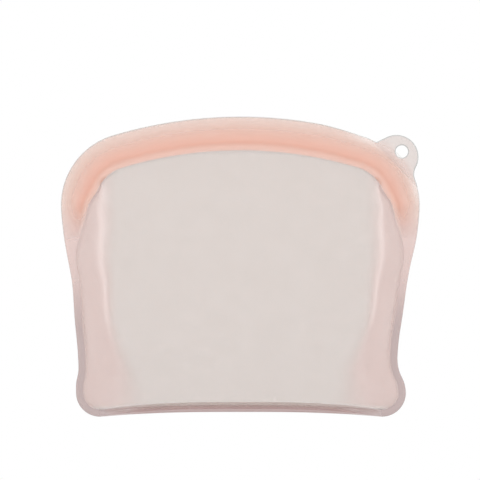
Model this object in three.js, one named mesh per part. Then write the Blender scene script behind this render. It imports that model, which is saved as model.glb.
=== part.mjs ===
// A reusable silicone bag: two moulded half shells joined by a seam round the sides and over a flat base,
// closed along an arched top by a thick press seal, with a thin hang tab on the front lip.
// Millimetres. +X is right, the front faces -Y and +Z is up. The origin is under the middle of the feet.

import * as THREE from 'three';

// Outline, seen from the front
const HEIGHT = 189;
const HALF_WIDTH = 113;
const WIDEST_Z = 133.4;
const SHOULDER_RADIUS = 45.7;
const SHOULDER_DROP = THREE.MathUtils.degToRad(11.5); // the shoulder arc runs on below the widest point
const SIDE_REACH = 30; // how far the side follows the shoulder's slope before it bends to the waist
const WAIST_HALF_WIDTH = 100;
const WAIST_Z = 36;
const WAIST_REACH = 16;
const FOOT_X = 88.9;
const CORNER_RADIUS = 15;

// The strip that runs round the outline: the seal over the top, a narrow seam down the sides
const BAND_WIDTH = 21.2;
const SEAM_WIDTH = 6;
const BAND_NARROWS_FROM_Z = 143;
const BAND_NARROWS_TO_Z = 101;

// Belly of each half shell
const WALL = 1.6;
const ROOT_DEPTH = 1.9; // outside of a wall to the middle plane, where it meets the strip
const BELLY_DEPTH = 28;
const BASE_DEPTH = 19;
const DEEPEST_Z = 45;
const FACE_CAMBER = 0.1;
const SIDE_BEND_START = 78; // half-width where the face starts to turn into the side
const BASE_BEND_START = 40; // the same, down at the base
const BASE_BEND_FADES_Z = 63;
const SIDE_BEND_POWER = 2.4;
const TALLEST_SIDE_Z = 145;

// Press seal
const GRIP_WIDTH = 7;
const GRIP_EDGE_HALF = 1.1;
const GRIP_EDGE_ROUND = 0.6;
const GRIP_ROOT_HALF = 1.9;
const JAW_HALF = 4.6;
// The jaw's outside: shares of the band's width from its outer edge, and the half thickness there
const JAW_SECTION = [
  [GRIP_WIDTH / BAND_WIDTH, GRIP_ROOT_HALF], [0.5, 0.6 * JAW_HALF], [0.64, 0.84 * JAW_HALF], [0.77, JAW_HALF],
  [0.88, 0.94 * JAW_HALF], [0.96, 0.7 * JAW_HALF], [1, 0.45 * JAW_HALF],
];
const SEAL_PLANE_GAP = 0.15; // from the middle plane to each jaw's inner face
const RIB_PLACE = 0.76; // share of the band's width, from its outer edge
const RIB_RADIUS = 1.2;
const GROOVE_RADIUS = 2;
const RIB_SHRINKS_TO = 0.5; // share of those radii that is left where the seal has faded
const RIB_END_Z = 127; // the rib stops short of the jaws' ends, so that the groove lifts off it freely
const RIB_SEGMENTS = 6;
const SEAL_FADES_FROM_Z = 138;
const SEAL_FADES_TO_Z = 116;
const SEAL_END_TOP_Z = 118.2;
const SEAL_END_LOW_Z = 104;
const SIDE_SEAM_HALF = 1.5;
const SEAM_EDGE_ROUND = 0.8;

// Base
const FOOT_FLAT_FROM_X = 76;
const BASE_ARCH = 4.5;
const BASE_BEAD_HEIGHT = 6;
const BASE_BEAD_ARCH = 2.5;
const BASE_BEAD_HALF = 1.4;
const BASE_BEAD_TOP_HALF = 0.84;
const BASE_BEAD_SIDE_SHARE = 0.8; // share of its height up to where its outer side turns in
const BEAD_END_X = FOOT_X - 0.9;
const BASE_PANEL_RISE = 2.2;

// Hang tab
const TAB_X = 98.3;
const TAB_Z = 163.6;
const TAB_RADIUS = 13.9;
const TAB_THICKNESS = 1.7;
const TAB_FILLET = 5;
const TAB_ROOT = 41.3; // from the shoulder's centre to the line where the tab bends
const HOLE_X = 101.7;
const HOLE_Z = 167;
const HOLE_RADIUS = 3.9;

const FOLD_Z = 120; // the upper walls swing above this line, between the seal's two ends
const GAP = 0.3;
const HALF_GAP = GAP / 2;

// Fineness
const COLUMNS = 24;
const LOWER_ROW_SHARES = [0, 0.02, 0.055, 0.11, 0.19, 0.3, 0.43, 0.57, 0.71, 0.86, 1];
const UPPER_ROWS = 7;
const SEAL_STATIONS = 40;
const SEAL_END_STATIONS = 6;
const SIDE_SEAM_STATIONS = 26;
const BASE_BEAD_COLUMNS = 32;
const HOLE_SEGMENTS = 12;
const SLOPE_STEP = 0.05;
const BISECTIONS = 40;

const FRONT = -1;
const REAR = 1;

const lerp = THREE.MathUtils.lerp;
const smooth = THREE.MathUtils.smoothstep;
const shoulderCentre = new THREE.Vector2(HALF_WIDTH - SHOULDER_RADIUS, WIDEST_Z);

// ---------------------------------------------------------------------------------------------- outline

/** The right half of the outline, from the top of the arch, round the shoulder and down to the foot. */
function outlinePath() {
  const drop = HEIGHT - shoulderCentre.y;
  const reachSquared = shoulderCentre.x ** 2 + drop ** 2;
  const crownRadius = (reachSquared - SHOULDER_RADIUS ** 2) / (2 * (drop - SHOULDER_RADIUS));
  const crownZ = HEIGHT - crownRadius;
  const joinAngle = Math.atan2(shoulderCentre.y - crownZ, shoulderCentre.x);
  const path = new THREE.Path();
  path.absarc(0, crownZ, crownRadius, Math.PI / 2, joinAngle, true);
  path.absarc(shoulderCentre.x, shoulderCentre.y, SHOULDER_RADIUS, joinAngle, -SHOULDER_DROP, true);
  const sideX = shoulderCentre.x + SHOULDER_RADIUS * Math.cos(SHOULDER_DROP);
  const sideZ = shoulderCentre.y - SHOULDER_RADIUS * Math.sin(SHOULDER_DROP);
  const cornerX = FOOT_X + CORNER_RADIUS;
  path.bezierCurveTo(
    sideX - SIDE_REACH * Math.sin(SHOULDER_DROP), sideZ - SIDE_REACH * Math.cos(SHOULDER_DROP),
    WAIST_HALF_WIDTH, WAIST_Z + WAIST_REACH,
    WAIST_HALF_WIDTH, WAIST_Z,
  );
  path.bezierCurveTo(
    WAIST_HALF_WIDTH, WAIST_Z - WAIST_REACH / 2,
    cornerX, CORNER_RADIUS + WAIST_REACH / 2,
    cornerX, CORNER_RADIUS,
  );
  path.absarc(FOOT_X, CORNER_RADIUS, CORNER_RADIUS, 0, -Math.PI / 2, true);
  return path;
}

const OUTLINE = outlinePath();

/** Width of the strip at a point of the outline, by its height. */
function stripWidth(z) {
  return lerp(SEAM_WIDTH, BAND_WIDTH, smooth(z, BAND_NARROWS_TO_Z, BAND_NARROWS_FROM_Z));
}

/** A place on the outline: 0 is the top of the arch, 1 the right foot, -1 the left one. */
function station(share) {
  const point = OUTLINE.getPointAt(Math.abs(share));
  const tangent = OUTLINE.getTangentAt(Math.abs(share));
  const side = share < 0 ? -1 : 1;
  return {
    x: side * point.x, z: point.y, inX: side * tangent.y, inZ: -tangent.x, width: stripWidth(point.y),
  };
}

/** The point of the strip that lies inset millimetres in from the outline. */
function insetPoint(place, inset) {
  return { x: place.x + inset * place.inX, z: place.z + inset * place.inZ };
}

/** The outline of the cavity, a gap in from the strip's inner edge. */
function innerEdge(share) {
  const place = station(share);
  return insetPoint(place, place.width + GAP);
}

/** The value between low and high where a rising function reaches its target. */
function solve(rising, target, low, high) {
  for (let step = 0; step < BISECTIONS; step++) {
    const middle = (low + high) / 2;
    if (rising(middle) < target) low = middle;
    else high = middle;
  }
  return (low + high) / 2;
}

const shareAtHeight = (z) => solve((share) => -station(share).z, -z, 0, 1);
const edgeShareAtHeight = (z) => solve((share) => -innerEdge(share).z, -z, 0, 1);
const edgeShareAtX = (x) => solve((share) => innerEdge(share).x, x, 0, PATCH_CORNER);

// Where the cavity's top edge turns into its side: half way round the shoulder
const PATCH_CORNER = shareAtHeight(shoulderCentre.y + SHOULDER_RADIUS * Math.SQRT1_2);
const PATCH_CORNER_X = innerEdge(PATCH_CORNER).x;

// ------------------------------------------------------------------------------------------------ belly

/** How far the outside of a wall stands off the middle plane. */
function bellyDepth(x, z) {
  const across = Math.abs(x);
  const ceiling = innerEdge(edgeShareAtX(Math.min(across, PATCH_CORNER_X))).z;
  const rise = THREE.MathUtils.clamp((z - DEEPEST_Z) / (ceiling - DEEPEST_Z), 0, 1);
  const fall = THREE.MathUtils.clamp(z / DEEPEST_Z, 0, 1);
  const low = lerp(BASE_DEPTH, BELLY_DEPTH, Math.sin((fall * Math.PI) / 2));
  const depth = z > DEEPEST_Z ? BELLY_DEPTH * Math.cos((rise * Math.PI) / 2) : low;
  const bendStart = lerp(BASE_BEND_START, SIDE_BEND_START, smooth(z, 0, BASE_BEND_FADES_Z));
  const sideX = innerEdge(edgeShareAtHeight(Math.min(z, TALLEST_SIDE_Z))).x;
  const bend = THREE.MathUtils.clamp((across - bendStart) / (sideX - bendStart), 0, 1);
  const camber = 1 - FACE_CAMBER * (across / SIDE_BEND_START) ** 2;
  return ROOT_DEPTH + depth * camber * (1 - bend ** SIDE_BEND_POWER);
}

/** Slope of a function at a place. */
function slopeOf(curve, at) {
  return (curve(at + SLOPE_STEP) - curve(at - SLOPE_STEP)) / (2 * SLOPE_STEP);
}

/** The outer and the inner point of a wall, front or rear, at a place seen from the front. */
function wallPoints(x, z, face) {
  const slopeX = slopeOf((across) => bellyDepth(across, z), x);
  const slopeZ = slopeOf((height) => bellyDepth(x, height), z);
  const depth = bellyDepth(x, z);
  const length = Math.hypot(slopeX, 1, slopeZ);
  const innerDepth = Math.max(depth - WALL / length, GAP);
  return {
    outer: new THREE.Vector3(x, face * depth, z),
    inner: new THREE.Vector3(x + (WALL * slopeX) / length, face * innerDepth, z),
  };
}

/** Spacing across a wall, closer together towards its two sides. */
function columnShare(column, count) {
  return Math.sin((column / count - 0.5) * Math.PI);
}

/** A wall as a solid, from rows of places seen from the front, each row running from left to right. */
function wallGeometry(rows, face) {
  const rings = rows.map((row) => {
    const pairs = row.map((place) => wallPoints(place.x, place.z, face));
    return [...pairs.map((pair) => pair.outer), ...pairs.map((pair) => pair.inner).reverse()];
  });
  return loft(rings, stripCap);
}

/** Covers the end of a wall, whose ring runs out along its outside and back along its inside. */
function stripCap(ring) {
  const faces = [];
  for (let column = 0; column < ring.length / 2 - 1; column++) {
    const across = ring.length - 1 - column;
    faces.push([column, column + 1, across - 1], [column, across - 1, across]);
  }
  return faces;
}

function archShare(x) {
  const across = Math.min(Math.abs(x) / FOOT_FLAT_FROM_X, 1);
  return (1 - across ** 2) ** 2;
}

const baseUnderside = (x) => BASE_ARCH * archShare(x);
const baseBeadTop = (x) => BASE_BEAD_HEIGHT + BASE_BEAD_ARCH * archShare(x);

function lowerWallRows() {
  const low = BASE_BEAD_HEIGHT + GAP;
  return LOWER_ROW_SHARES.map((share) => {
    const rowZ = lerp(low, FOLD_Z - GAP, share);
    const half = innerEdge(edgeShareAtHeight(rowZ)).x;
    const row = [];
    for (let column = 0; column <= COLUMNS; column++) {
      const x = half * columnShare(column, COLUMNS);
      row.push({ x, z: rowZ + (1 - share) * (baseBeadTop(x) - BASE_BEAD_HEIGHT) });
    }
    return row;
  });
}

/** A patch between the fold line, the cavity's two sides and its arched top. */
function upperWallRows() {
  const foldShare = edgeShareAtHeight(FOLD_Z + GAP);
  const foldHalf = innerEdge(foldShare).x;
  const corner = innerEdge(PATCH_CORNER);
  const rows = [];
  for (let index = 0; index <= UPPER_ROWS; index++) {
    const up = index / UPPER_ROWS;
    const side = innerEdge(lerp(foldShare, PATCH_CORNER, up));
    const row = [];
    for (let column = 0; column <= COLUMNS; column++) {
      const across = columnShare(column, COLUMNS);
      const top = innerEdge(across * PATCH_CORNER);
      row.push({
        x: lerp(across * foldHalf, top.x, up) + across * (side.x - lerp(foldHalf, corner.x, up)),
        z: lerp(FOLD_Z + GAP, top.z, up) + side.z - lerp(FOLD_Z + GAP, corner.z, up),
      });
    }
    rows.push(row);
  }
  return rows;
}

// ------------------------------------------------------------------------------- solids from cross-sections

/** Covers the end of a solid whose cross-section lies flat once flatten has laid it out. */
function flatCap(flatten) {
  return (ring, end) => {
    const contour = ring.map((point, index) => flatten(point, index, end));
    const turn = Math.sign(THREE.ShapeUtils.area(contour));
    return THREE.ShapeUtils.triangulateShape(contour, []).map(([a, b, c]) => {
      const same = Math.sign(THREE.ShapeUtils.area([contour[a], contour[b], contour[c]])) === turn;
      return same ? [a, b, c] : [a, c, b];
    });
  };
}

/** Joins rings of equally many points into one closed solid; cap lists the triangles that cover an end. */
function loft(rings, cap) {
  const size = rings[0].length;
  const last = rings.length - 1;
  const positions = rings.flat().flatMap((point) => [point.x, point.y, point.z]);
  const faces = [];
  for (let ring = 0; ring < last; ring++) {
    for (let point = 0; point < size; point++) {
      const a = ring * size + point;
      const b = ring * size + ((point + 1) % size);
      faces.push([a, b, b + size], [a, b + size, a + size]);
    }
  }
  for (const [a, b, c] of cap(rings[0], 0)) faces.push([a, c, b]);
  for (const face of cap(rings[last], last)) faces.push(face.map((index) => index + last * size));
  return outwardGeometry(positions, faces);
}

/** A geometry from points and triangles, turned inside out if its volume comes out negative. */
function outwardGeometry(positions, faces) {
  const corner = (index) => new THREE.Vector3().fromArray(positions, index * 3);
  let volume = 0;
  for (const [a, b, c] of faces) volume += corner(a).dot(corner(b).cross(corner(c)));
  const outward = volume < 0 ? faces.map(([a, b, c]) => [a, c, b]) : faces;
  const geometry = new THREE.BufferGeometry();
  geometry.setAttribute('position', new THREE.Float32BufferAttribute(positions, 3));
  geometry.setIndex(outward.flat());
  geometry.computeVertexNormals();
  return geometry;
}

/** A solid along the outline; profile(place) lists its cross-section as insets and depths. */
function stripGeometry(shares, profile) {
  const profiles = shares.map((share) => profile(station(share)));
  const rings = shares.map((share, index) => {
    const place = station(share);
    return profiles[index].map(([inset, y]) => {
      const point = insetPoint(place, inset);
      return new THREE.Vector3(point.x, y, point.z);
    });
  });
  return loft(rings, flatCap((point, index, end) => new THREE.Vector2(...profiles[end][index])));
}

function evenly(from, to, count) {
  return Array.from({ length: count + 1 }, (_, index) => lerp(from, to, index / count));
}

// ----------------------------------------------------------------------------------------- press seal

const SEAL_END_SHARE = shareAtHeight(SEAL_END_TOP_Z + GAP);
const RIB_END_SHARE = shareAtHeight(RIB_END_Z);

/** 1 where the seal is at its full thickness, 0 where it has faded into the side seam. */
const sealStrength = (z) => smooth(z, SEAL_FADES_TO_Z, SEAL_FADES_FROM_Z);

/** Half thickness of the jaw across its width, thickest towards the cavity. */
function jawOutside(place) {
  const strength = sealStrength(place.z);
  return JAW_SECTION.map(([share, half], index) => {
    const trim = index === 0 ? HALF_GAP : -HALF_GAP * (index === JAW_SECTION.length - 1);
    return [share * place.width + trim, lerp(GRIP_ROOT_HALF, half, strength)];
  });
}

/** A half circle standing on the seal plane, as insets and depths. */
function halfCircle(place, radius) {
  const size = radius * lerp(RIB_SHRINKS_TO, 1, sealStrength(place.z));
  return evenly(0, Math.PI, RIB_SEGMENTS).map((angle) => [
    RIB_PLACE * place.width + size * Math.cos(angle), SEAL_PLANE_GAP + size * Math.sin(angle),
  ]);
}

function jawGeometry(face, grooved) {
  const shares = evenly(-SEAL_END_SHARE, SEAL_END_SHARE, SEAL_STATIONS);
  return stripGeometry(shares, (place) => {
    const outside = jawOutside(place);
    const groove = grooved ? halfCircle(place, GROOVE_RADIUS) : [];
    const last = outside[outside.length - 1][0];
    const section = [...outside, [last, SEAL_PLANE_GAP], ...groove, [outside[0][0], SEAL_PLANE_GAP]];
    return section.map(([inset, y]) => [inset, face * y]);
  });
}

function ribGeometry() {
  const shares = evenly(-RIB_END_SHARE, RIB_END_SHARE, SEAL_STATIONS);
  return stripGeometry(shares, (place) => halfCircle(place, RIB_RADIUS).map(([inset, y]) => [inset, -y]));
}

/** Distance from the outline to the straight line where the hang tab leaves the front lip. */
function tabInset(place) {
  const out = tabDirection();
  const point = new THREE.Vector2(place.x, place.z).sub(shoulderCentre);
  const cosine = point.dot(out) / point.length();
  const onShoulder = Math.abs(point.length() - SHOULDER_RADIUS) < GAP && cosine > 0;
  return onShoulder ? Math.max(0, SHOULDER_RADIUS - (TAB_ROOT - GAP) / cosine) : 0;
}

function gripLipGeometry(face, notched) {
  const shares = evenly(-SEAL_END_SHARE, SEAL_END_SHARE, SEAL_STATIONS * 2);
  return stripGeometry(shares, (place) => {
    const start = notched ? tabInset(place) : 0;
    const end = (GRIP_WIDTH / BAND_WIDTH) * place.width - HALF_GAP;
    const round = Math.min(start + GRIP_EDGE_ROUND, end - HALF_GAP);
    return [
      [start, face * SEAL_PLANE_GAP], [start, face * (GRIP_EDGE_HALF - GRIP_EDGE_ROUND + SEAL_PLANE_GAP)],
      [round, face * GRIP_EDGE_HALF],
      [end, face * GRIP_ROOT_HALF], [end, face * SEAL_PLANE_GAP],
    ];
  });
}

/** The lens-shaped cross-section of a strip that joins both shells. */
function fusedSection(place, half) {
  const end = place.width - HALF_GAP;
  const edge = half - SEAM_EDGE_ROUND;
  return [
    [0, edge], [SEAM_EDGE_ROUND, half], [end, half], [end, -half], [SEAM_EDGE_ROUND, -half], [0, -edge],
  ];
}

function sealEndGeometry(side) {
  const shares = evenly(shareAtHeight(SEAL_END_TOP_Z), shareAtHeight(SEAL_END_LOW_Z), SEAL_END_STATIONS);
  const half = GRIP_ROOT_HALF - HALF_GAP;
  return stripGeometry(shares.map((share) => side * share), (place) => fusedSection(place, half));
}

// ------------------------------------------------------------------------------------- seams and base

function sideSeamGeometry(side) {
  const shares = evenly(shareAtHeight(SEAL_END_LOW_Z - GAP), 1, SIDE_SEAM_STATIONS);
  return stripGeometry(shares.map((share) => side * share), (place) => fusedSection(place, SIDE_SEAM_HALF));
}

/** Depth of the middle of the base seam's bead at x. */
function beadDepth(x) {
  return bellyDepth(x, BASE_BEAD_HEIGHT + GAP) - WALL / 2;
}

function baseSeamGeometry(face) {
  const rings = [];
  for (let column = 0; column <= BASE_BEAD_COLUMNS; column++) {
    const x = BEAD_END_X * columnShare(column, BASE_BEAD_COLUMNS);
    const slope = slopeOf(beadDepth, x);
    const length = Math.hypot(1, slope);
    const place = (out, z) => new THREE.Vector3(
      x - (out * slope) / length, face * (beadDepth(x) + out / length), z,
    );
    const low = baseUnderside(x);
    const top = baseBeadTop(x);
    rings.push([
      place(-BASE_BEAD_HALF, low), place(BASE_BEAD_HALF, low),
      place(BASE_BEAD_HALF, lerp(low, top, BASE_BEAD_SIDE_SHARE)),
      place(BASE_BEAD_TOP_HALF, top), place(-BASE_BEAD_HALF, top),
    ]);
  }
  return loft(rings, flatCap((point) => new THREE.Vector2(point.y, point.z)));
}

function basePanelGeometry() {
  const rings = [];
  for (let column = 0; column <= COLUMNS; column++) {
    const x = (BEAD_END_X - BASE_BEAD_HALF) * columnShare(column, COLUMNS);
    const half = beadDepth(x) - (BASE_BEAD_HALF + GAP) * Math.hypot(1, slopeOf(beadDepth, x));
    const low = baseUnderside(x) + BASE_PANEL_RISE;
    rings.push([[-half, low], [half, low], [half, low + WALL], [-half, low + WALL]]
      .map(([y, z]) => new THREE.Vector3(x, y, z)));
  }
  return loft(rings, flatCap((point) => new THREE.Vector2(point.y, point.z)));
}

// ------------------------------------------------------------------------------------------- hang tab

function tabDirection() {
  return new THREE.Vector2(TAB_X, TAB_Z).sub(shoulderCentre).normalize();
}

/** The outline of the tab, in a frame whose +X points straight out from the shoulder's centre. */
function tabShape() {
  const reach = Math.hypot(TAB_X - shoulderCentre.x, TAB_Z - shoulderCentre.y);
  const far = SHOULDER_RADIUS + TAB_FILLET;
  const near = TAB_RADIUS + TAB_FILLET;
  const filletX = (reach ** 2 + far ** 2 - near ** 2) / (2 * reach);
  const filletY = Math.sqrt(far ** 2 - filletX ** 2);
  const rootHalf = Math.sqrt(SHOULDER_RADIUS ** 2 - TAB_ROOT ** 2);
  const onShoulder = Math.atan2(filletY, filletX);
  const onTab = Math.atan2(filletY, filletX - reach);
  const shape = new THREE.Shape();
  shape.absarc(0, 0, SHOULDER_RADIUS, -Math.atan2(rootHalf, TAB_ROOT), -onShoulder, false);
  shape.absarc(filletX, -filletY, TAB_FILLET, Math.PI - onShoulder, Math.PI - onTab, true);
  shape.absarc(reach, 0, TAB_RADIUS, -onTab, onTab, false);
  shape.absarc(filletX, filletY, TAB_FILLET, onTab - Math.PI, onShoulder - Math.PI, true);
  shape.absarc(0, 0, SHOULDER_RADIUS, onShoulder, Math.atan2(rootHalf, TAB_ROOT), false);
  const out = tabDirection();
  const hole = new THREE.Vector2(HOLE_X, HOLE_Z).sub(shoulderCentre);
  const bore = new THREE.Path();
  bore.absarc(hole.dot(out), out.cross(hole), HOLE_RADIUS, 0, 2 * Math.PI, true);
  shape.holes.push(bore);
  return shape;
}

function tabGeometry() {
  const geometry = new THREE.ExtrudeGeometry(tabShape(), {
    depth: TAB_THICKNESS, bevelEnabled: false, curveSegments: HOLE_SEGMENTS,
  });
  geometry.rotateZ(tabDirection().angle());
  geometry.rotateX(Math.PI / 2);
  geometry.translate(shoulderCentre.x, -SEAL_PLANE_GAP, shoulderCentre.y);
  return geometry;
}

// ------------------------------------------------------------------------------------------- assembly

const clearSilicone = new THREE.MeshStandardMaterial({ color: 0xe0d3cc, roughness: 0.35, metalness: 0 });
const seamSilicone = new THREE.MeshStandardMaterial({ color: 0xd8c4be, roughness: 0.35, metalness: 0 });
const peachSilicone = new THREE.MeshStandardMaterial({ color: 0xe9b8a6, roughness: 0.4, metalness: 0 });
const paleSilicone = new THREE.MeshStandardMaterial({ color: 0xecd6cc, roughness: 0.4, metalness: 0 });

const bag = new THREE.Group();

function addPiece(name, geometry, material) {
  const mesh = new THREE.Mesh(geometry, material.clone());
  mesh.name = name;
  bag.add(mesh);
}

for (const [word, face] of [['front', FRONT], ['rear', REAR]]) {
  const isFront = face === FRONT;
  addPiece(`${word}_lower_wall`, wallGeometry(lowerWallRows(), face), clearSilicone);
  addPiece(`${word}_upper_wall`, wallGeometry(upperWallRows(), face), clearSilicone);
  addPiece(`${word}_seal_band`, jawGeometry(face, isFront), peachSilicone);
  addPiece(`${word}_grip_lip`, gripLipGeometry(face, isFront), paleSilicone);
  addPiece(`${word}_base_seam`, baseSeamGeometry(face), seamSilicone);
}
for (const [word, side] of [['left', -1], ['right', 1]]) {
  addPiece(`${word}_seal_end`, sealEndGeometry(side), paleSilicone);
  addPiece(`${word}_side_seam`, sideSeamGeometry(side), seamSilicone);
}
addPiece('seal_rib', ribGeometry(), peachSilicone);
addPiece('base_panel', basePanelGeometry(), clearSilicone);
addPiece('hang_tab', tabGeometry(), paleSilicone);

export default bag;
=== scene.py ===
"""The looks of a reusable silicone bag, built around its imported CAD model.

The bag's sizes are in millimetres until a mesh is made, and the camera's, the lights' and the floor's are in
metres. +X is right, the front faces -Y and +Z is up. The bag is two moulded half shells: each has a thin wall
and, along its arched top, a thick sealing rim with a thin lip. They are fused along the sides, and each ends
below in a bead that stands on the ground.
"""

import math

import bpy
import numpy as np
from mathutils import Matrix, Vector, noise
from mathutils.geometry import delaunay_2d_cdt


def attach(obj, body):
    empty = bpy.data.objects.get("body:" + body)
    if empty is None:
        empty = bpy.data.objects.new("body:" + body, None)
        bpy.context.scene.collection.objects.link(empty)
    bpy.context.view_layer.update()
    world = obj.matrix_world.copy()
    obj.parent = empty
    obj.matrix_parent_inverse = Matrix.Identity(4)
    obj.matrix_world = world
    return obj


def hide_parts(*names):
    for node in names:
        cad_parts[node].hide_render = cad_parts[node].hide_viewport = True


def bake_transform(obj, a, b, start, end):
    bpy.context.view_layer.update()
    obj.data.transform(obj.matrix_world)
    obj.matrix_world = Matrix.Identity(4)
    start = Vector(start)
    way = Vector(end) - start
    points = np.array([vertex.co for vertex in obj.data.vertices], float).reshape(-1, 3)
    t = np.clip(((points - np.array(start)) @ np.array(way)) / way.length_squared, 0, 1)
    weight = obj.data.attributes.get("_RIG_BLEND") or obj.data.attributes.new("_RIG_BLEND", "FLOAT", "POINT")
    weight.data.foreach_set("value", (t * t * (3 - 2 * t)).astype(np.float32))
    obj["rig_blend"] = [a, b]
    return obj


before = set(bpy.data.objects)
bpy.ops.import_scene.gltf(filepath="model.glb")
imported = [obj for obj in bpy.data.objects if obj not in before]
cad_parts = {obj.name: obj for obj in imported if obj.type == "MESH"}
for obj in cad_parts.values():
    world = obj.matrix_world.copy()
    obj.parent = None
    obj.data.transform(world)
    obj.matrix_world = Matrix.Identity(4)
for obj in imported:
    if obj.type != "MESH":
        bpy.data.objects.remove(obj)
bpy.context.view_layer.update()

MM = 0.001
FRONT, REAR = -1, 1
LEFT, RIGHT = -1, 1

# Outline, seen from the front
HEIGHT = 189.0
HALF_WIDTH = 113.0
WIDEST_Z = 133.4
SHOULDER_RADIUS = 45.7
SHOULDER_DROP = math.radians(1.0)
SIDE_REACH = 22.0
WAIST = (100.6, 35.0)
WAIST_REACH = 22.0
PINCH = (1.2, 58.0, 87.0, 116.0)  # a slight hollow in the sides: how much, from, deepest at, to
FOOT_X = 88.9
CORNER_RADIUS = 15.0
SHOULDER = (HALF_WIDTH - SHOULDER_RADIUS, WIDEST_Z)
SWAY = 2.0  # how far the waist sits to the left
SWAY_STARTS_Z = (14.0, 38.0)
SWAY_EASES = (0.6, 45.0, 90.0)  # by which share of itself, and between which heights
SWAY_ENDS_Z = (92.0, 128.0)
LEAN = 0.4  # how far the bag leans to the right below its shoulders
LEAN_ENDS_Z = (105.0, 130.0)
LIP_DIP = 1.8  # how far the lips dip beside the hang tab
DIP_SETS_IN_X = (46.0, 88.0)

# The strip round the outline
BAND_WIDTH = 21.2
SEAM_WIDTH = 4.6
# How much the band narrows downwards, and between which heights
BAND_NARROWS_BY = ((5.2, 124.0, 152.0), (11.4, 95.0, 131.0))

# Belly of each half shell
WALL = 1.6
ROOT_DEPTH = 1.9
BELLY_DEPTH = 28.0
BASE_DEPTH = 19.0
DEEPEST_Z = 45.0
FACE_CAMBER = 0.1
SIDE_FOLD_X = 84.6
SIDE_FOLD_SHARE = 0.29
FOLD_SHIFT = 1.1  # the right fold is a little further out than the left one
BASE_BEND_START = 40.0
BASE_BEND_FADES_Z = 63.0
SIDE_BEND_POWER = 2.4
TALLEST_SIDE_Z = 145.0
FOLD_Z = 120.0
GAP = 0.3  # between the cavity's outline and the strip, and between an inner skin and the middle plane

# Press seal
LIP_WIDTH = 7.0
LIP_EDGE_HALF = 1.1
LIP_ROOT_HALF = 1.9
JAW_HALF = 4.6
SEAL_PLANE_GAP = 0.15
RIB_PLACE = 0.76
RIB_RADIUS = 1.2
GROOVE_RADIUS = 2.0
RIB_SHRINKS_TO = 0.5
RIB_END_Z = 127.0
SEAL_FADES_Z = (116.0, 138.0)
RIM_END_Z = 111.6
SEAM_HALF = 1.5
SEAM_THICKENS_Z = (88.0, 110.0)
# The jaw's outside: shares of the band's width from its outer edge, and of the jaw's half thickness
JAW_SECTION = (
    (0.42, 0.48), (0.54, 0.68), (0.66, 0.86), (0.77, 0.97), (0.87, 0.95), (0.95, 0.76), (1.0, 0.52),
)

# Base
BASE_ARCH = 3.9
BEAD_HEIGHT = SEAM_WIDTH
BEAD_ARCH = 3.6
BEAD_THICKNESS = 2.8
BEAD_PROUD = 0.5
PANEL_RISE = 2.2
PANEL_DOME = 1.6

# Hang tab
TAB = (98.3, 163.6)
TAB_RADIUS = 13.9
TAB_HALF = 0.8
TAB_Y = -1.0
TAB_FILLET = 9.5
TAB_NOTCH = (43.6, math.radians(20.9))
TAB_ROOT = 39.5
TAB_BEND = (41.3, 46.8)
DIP_FADES = (math.radians(4), math.radians(19))
HOLE = (101.7, 167.0)
HOLE_RADIUS = 3.9

# Where the soft walls and rims bend when a lip is pulled open
BEND_FROM_Z = 112.0
BEND_TO_Z = 138.0

TINY = 1e-9


def lerp(low, high, share):
    return low + (high - low) * share


def smooth(value, low, high):
    """0 at low, 1 at high, with a soft start and end."""
    share = np.clip((value - low) / (high - low), 0.0, 1.0)
    return share * share * (3.0 - 2.0 * share)


def spread(count):
    """Shares from -1 to 1 in count steps, which get shorter towards both ends."""
    return np.sin((np.arange(count + 1) / count - 0.5) * math.pi)


# -------------------------------------------------------------------------------------------- outline


def arc(centre, radius, start, end, count=160):
    angles = np.linspace(start, end, count)
    return np.column_stack((centre[0] + radius * np.cos(angles), centre[1] + radius * np.sin(angles)))


def bezier(start, first, second, end, count=160):
    share = np.linspace(0.0, 1.0, count)[:, None]
    points = [np.array(point, float) for point in (start, first, second, end)]
    weights = ((1 - share) ** 3, 3 * (1 - share) ** 2 * share, 3 * (1 - share) * share**2, share**3)
    return sum(weight * point for weight, point in zip(weights, points))


def right_half_outline():
    """From the top of the arch, round the shoulder and down to the foot."""
    drop = HEIGHT - SHOULDER[1]
    reach_squared = SHOULDER[0] ** 2 + drop**2
    crown_radius = (reach_squared - SHOULDER_RADIUS**2) / (2 * (drop - SHOULDER_RADIUS))
    crown = (0.0, HEIGHT - crown_radius)
    join = math.atan2(SHOULDER[1] - crown[1], SHOULDER[0])
    slope = (math.sin(SHOULDER_DROP), math.cos(SHOULDER_DROP))
    side = (SHOULDER[0] + SHOULDER_RADIUS * slope[1], SHOULDER[1] - SHOULDER_RADIUS * slope[0])
    corner_x = FOOT_X + CORNER_RADIUS
    pieces = [
        arc(crown, crown_radius, math.pi / 2, join),
        arc(SHOULDER, SHOULDER_RADIUS, join, -SHOULDER_DROP),
        bezier(
            side,
            (side[0] - SIDE_REACH * slope[0], side[1] - SIDE_REACH * slope[1]),
            (WAIST[0], WAIST[1] + WAIST_REACH),
            WAIST,
        ),
        bezier(
            WAIST,
            (WAIST[0], WAIST[1] - WAIST_REACH / 2),
            (corner_x, CORNER_RADIUS + WAIST_REACH / 2),
            (corner_x, CORNER_RADIUS),
        ),
        arc((FOOT_X, CORNER_RADIUS), CORNER_RADIUS, 0.0, -math.pi / 2),
    ]
    line = np.vstack([pieces[0]] + [piece[1:] for piece in pieces[1:]])
    amount, low, deepest, high = PINCH
    line[:, 0] -= amount * smooth(line[:, 1], low, deepest) * (1.0 - smooth(line[:, 1], deepest, high))
    return line


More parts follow.
